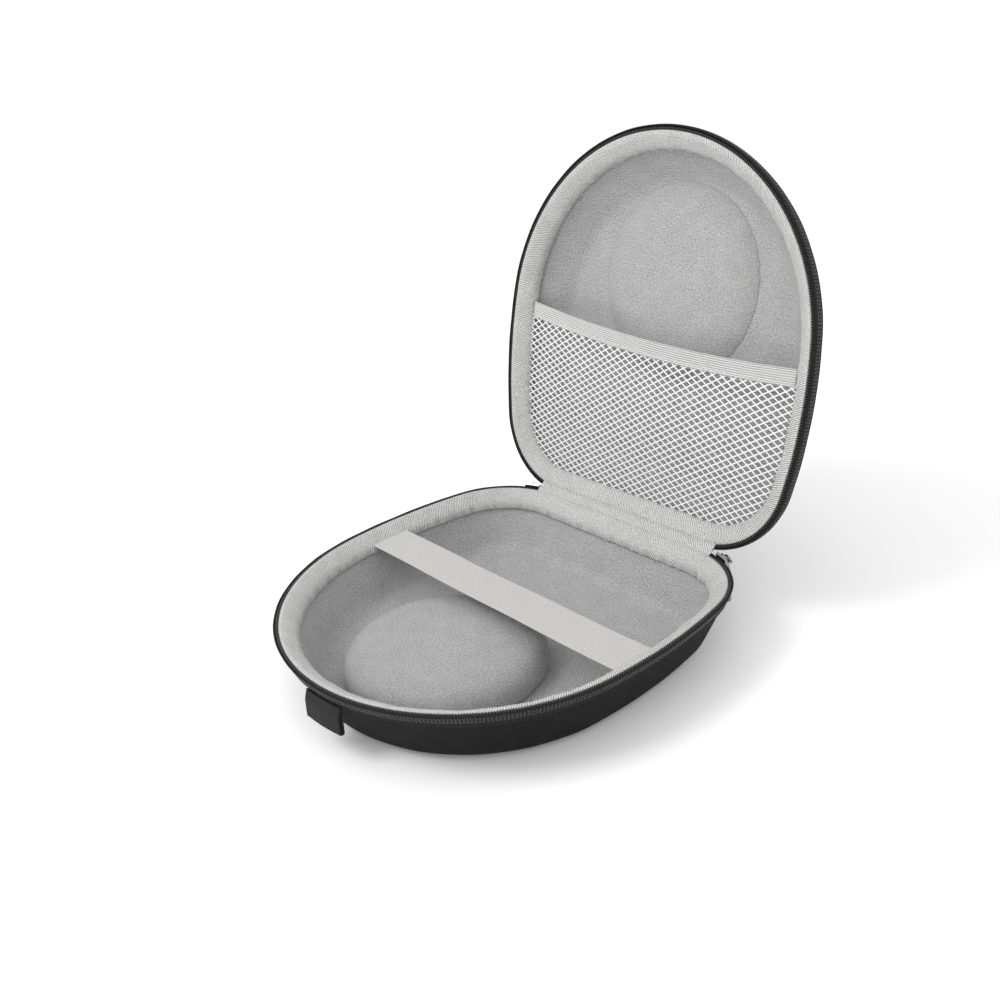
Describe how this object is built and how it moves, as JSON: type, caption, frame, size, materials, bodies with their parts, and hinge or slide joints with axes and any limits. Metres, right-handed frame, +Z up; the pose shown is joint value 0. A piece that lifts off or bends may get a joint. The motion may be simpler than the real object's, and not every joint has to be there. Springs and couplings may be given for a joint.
{
  "type": "headphone carrying case",
  "caption": "Zip-round moulded carrying case for headphones, shown open, with a padded base, an elastic strap and a mesh pocket in the lid.",
  "frame": {"origin": "on the base's flat underside, on the plane of symmetry, below the centre of the big front arc", "axes": "+Z up out of the base, +Y towards the hinge, +X to the right seen from the front; the lid stands open"},
  "size_m": [0.2164, 0.2837, 0.2472],
  "materials": {
    "cover_fabric": "fine black woven polyester",
    "moulded_foam": "black moulded foam board",
    "lining_fabric": "mid-grey brushed knit",
    "binding_fabric": "light grey ribbed twill",
    "zip_tape": "dark grey woven tape",
    "zip_coil": "black nylon teeth",
    "slider_metal": "bright nickel plate",
    "strap_elastic": "light grey ribbed elastic",
    "pocket_mesh": "off-white knitted mesh",
    "webbing": "black herringbone webbing"
  },
  "bodies": {
    "base": {"base_cover": "cover_fabric", "base_foam_core": "moulded_foam", "base_lining": "lining_fabric", "base_round_pad": "lining_fabric", "base_rim_band": "binding_fabric", "base_zip_tape": "zip_tape", "base_zip_coil": "zip_coil", "coil_stop_right": "slider_metal", "coil_stop_left": "slider_metal", "elastic_strap": "strap_elastic", "hinge_cover_strip": "zip_tape", "hinge_lining_strip": "binding_fabric"},
    "lid": {"lid_cover": "cover_fabric", "lid_foam_core": "moulded_foam", "lid_lining": "lining_fabric", "lid_round_pad": "lining_fabric", "lid_rim_band": "binding_fabric", "lid_zip_tape": "zip_tape", "lid_zip_coil": "zip_coil", "mesh_pocket": "pocket_mesh", "pocket_elastic": "strap_elastic"},
    "slider_right": {"slider_right": "slider_metal"},
    "slider_left": {"slider_left": "slider_metal"},
    "pull_right": {"slider_pull_right": "slider_metal"},
    "pull_left": {"slider_pull_left": "slider_metal"},
    "grip_tab": {"grip_tab": "webbing"}
  },
  "joints": [
    {"name": "lid_hinge", "type": "hinge", "parent": "base", "child": "lid", "pos_m": [0, 0.10693, 0.038], "axis": [1, 0, 0], "range_deg": [0, 102.5], "deforming": ["hinge_cover_strip", "hinge_lining_strip"]},
    {"name": "slider_right_travel", "type": "hinge", "parent": "base", "child": "slider_right", "pos_m": [0.05604, 0.05863, 0.038], "axis": [0, 0, -1], "range_deg": [0, 53]},
    {"name": "slider_left_travel", "type": "hinge", "parent": "base", "child": "slider_left", "pos_m": [-0.05604, 0.05863, 0.038], "axis": [0, 0, 1], "range_deg": [0, 53]},
    {"name": "pull_right_lift", "type": "hinge", "parent": "slider_right", "child": "pull_right", "pos_m": [0.07465, 0.10713, 0.037], "axis": [0.9336, -0.3584, 0], "range_deg": [-10, 65]},
    {"name": "pull_left_lift", "type": "hinge", "parent": "slider_left", "child": "pull_left", "pos_m": [-0.07465, 0.10713, 0.037], "axis": [0.9336, 0.3584, 0], "range_deg": [-10, 65]},
    {"name": "grip_tab_flap", "type": "hinge", "parent": "base", "child": "grip_tab", "pos_m": [0.00802, -0.10429, 0.0287], "axis": [-0.9971, -0.0767, 0], "range_deg": [-15, 75]}
  ]
}
